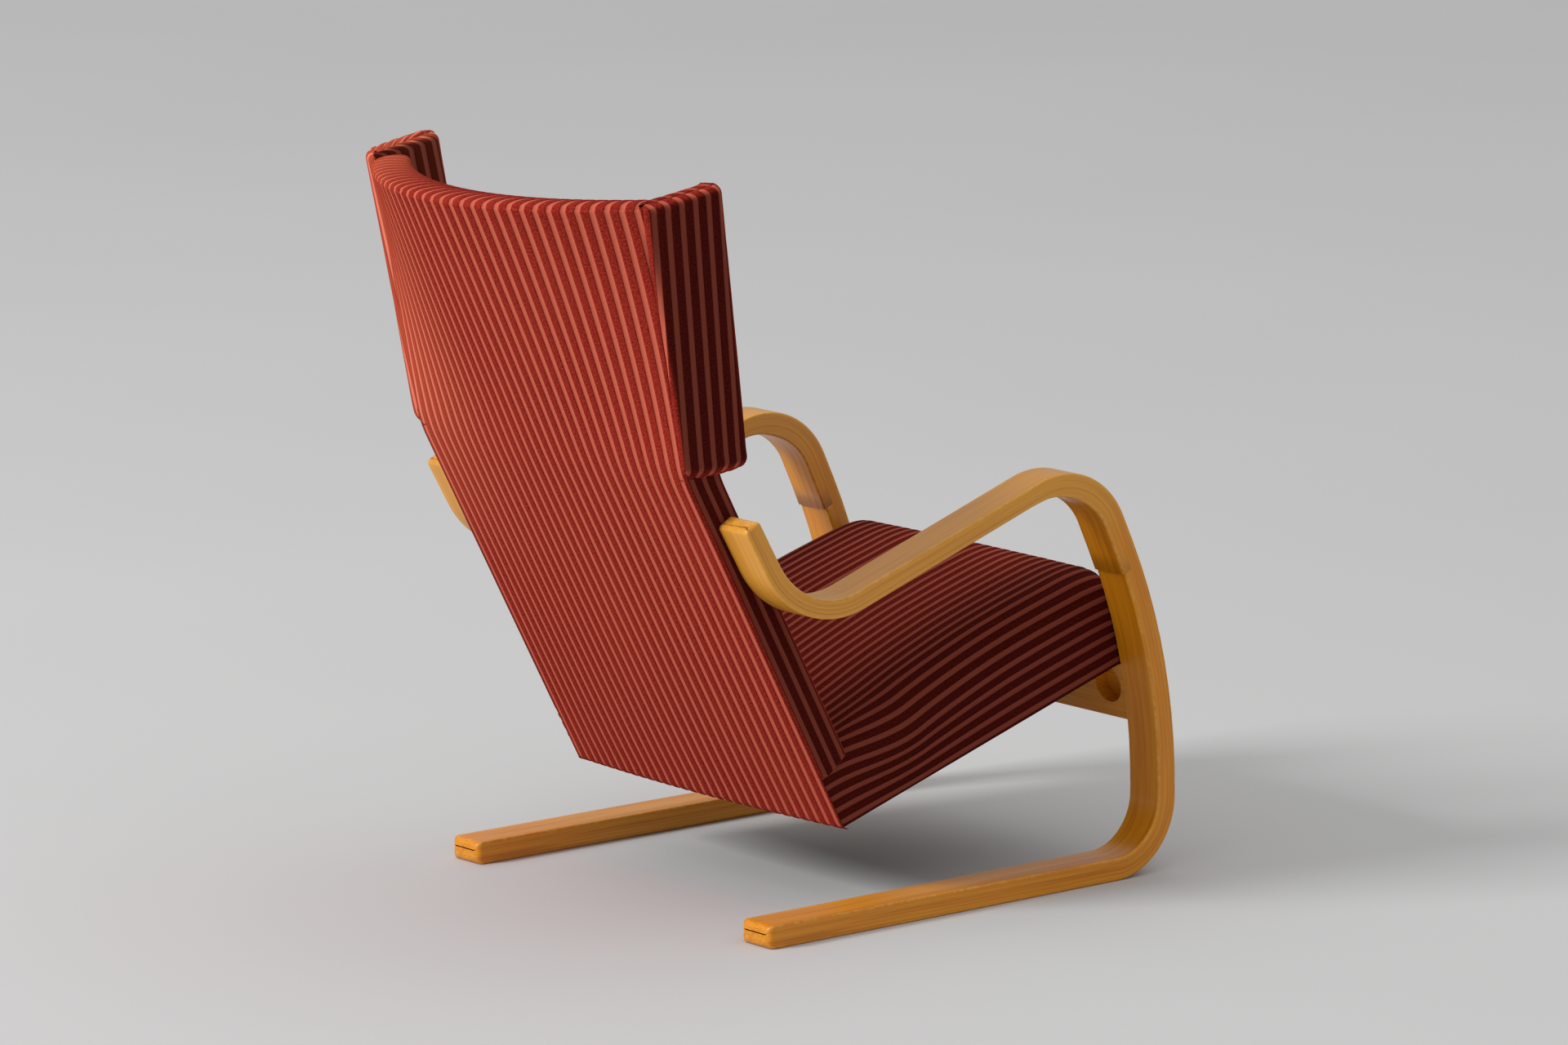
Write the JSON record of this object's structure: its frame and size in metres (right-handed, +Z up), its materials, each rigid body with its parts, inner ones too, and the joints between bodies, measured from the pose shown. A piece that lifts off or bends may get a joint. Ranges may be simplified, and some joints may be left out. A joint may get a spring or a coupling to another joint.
{
  "type": "high back armchair",
  "caption": "High back lounge armchair with wings: a striped upholstered seat and back held between two bent laminated wooden side frames that run along the floor.",
  "frame": {"origin": "on the floor under the middle of the chair's overall box", "axes": "+Z up, -Y the way the sitter faces, +X the sitter's left"},
  "size_m": [0.61, 0.8859, 0.9005],
  "materials": {
    "birch": "satin amber varnish",
    "inner_timber": "unfinished softwood",
    "striped_fabric": "ribbed red wool with narrow salmon stripes",
    "padding": "cotton felt",
    "webbing": "woven jute",
    "lining_cloth": "plain black cotton",
    "steel": "plain"
  },
  "bodies": {
    "root": {"left_frame_band": "birch", "right_frame_band": "birch", "left_leg_lamination": "birch", "right_leg_lamination": "birch", "left_arm_lamination": "birch", "right_arm_lamination": "birch", "front_cross_rail": "birch", "seat_left_rail": "inner_timber", "seat_right_rail": "inner_timber", "seat_front_rail": "inner_timber", "seat_rear_rail": "inner_timber", "seat_corner_blocks": "inner_timber", "back_left_stile": "inner_timber", "back_right_stile": "inner_timber", "back_top_rail": "inner_timber", "back_middle_rail": "inner_timber", "left_wing_board": "inner_timber", "right_wing_board": "inner_timber", "rail_dowels": "inner_timber", "seat_cover": "striped_fabric", "inside_back_cover": "striped_fabric", "back_top_roll": "striped_fabric", "outside_back_panel": "striped_fabric", "back_left_border": "striped_fabric", "back_right_border": "striped_fabric", "left_wing_pad": "striped_fabric", "right_wing_pad": "striped_fabric", "seat_padding": "padding", "back_padding": "padding", "seat_hessian": "webbing", "back_level_webbing": "webbing", "back_upright_webbing": "webbing", "bottom_cloth": "lining_cloth", "rail_bolts": "steel", "rail_bolt_nuts": "steel", "tail_screws": "steel", "seat_springs": "steel", "spring_clips": "steel"}
  },
  "joints": []
}
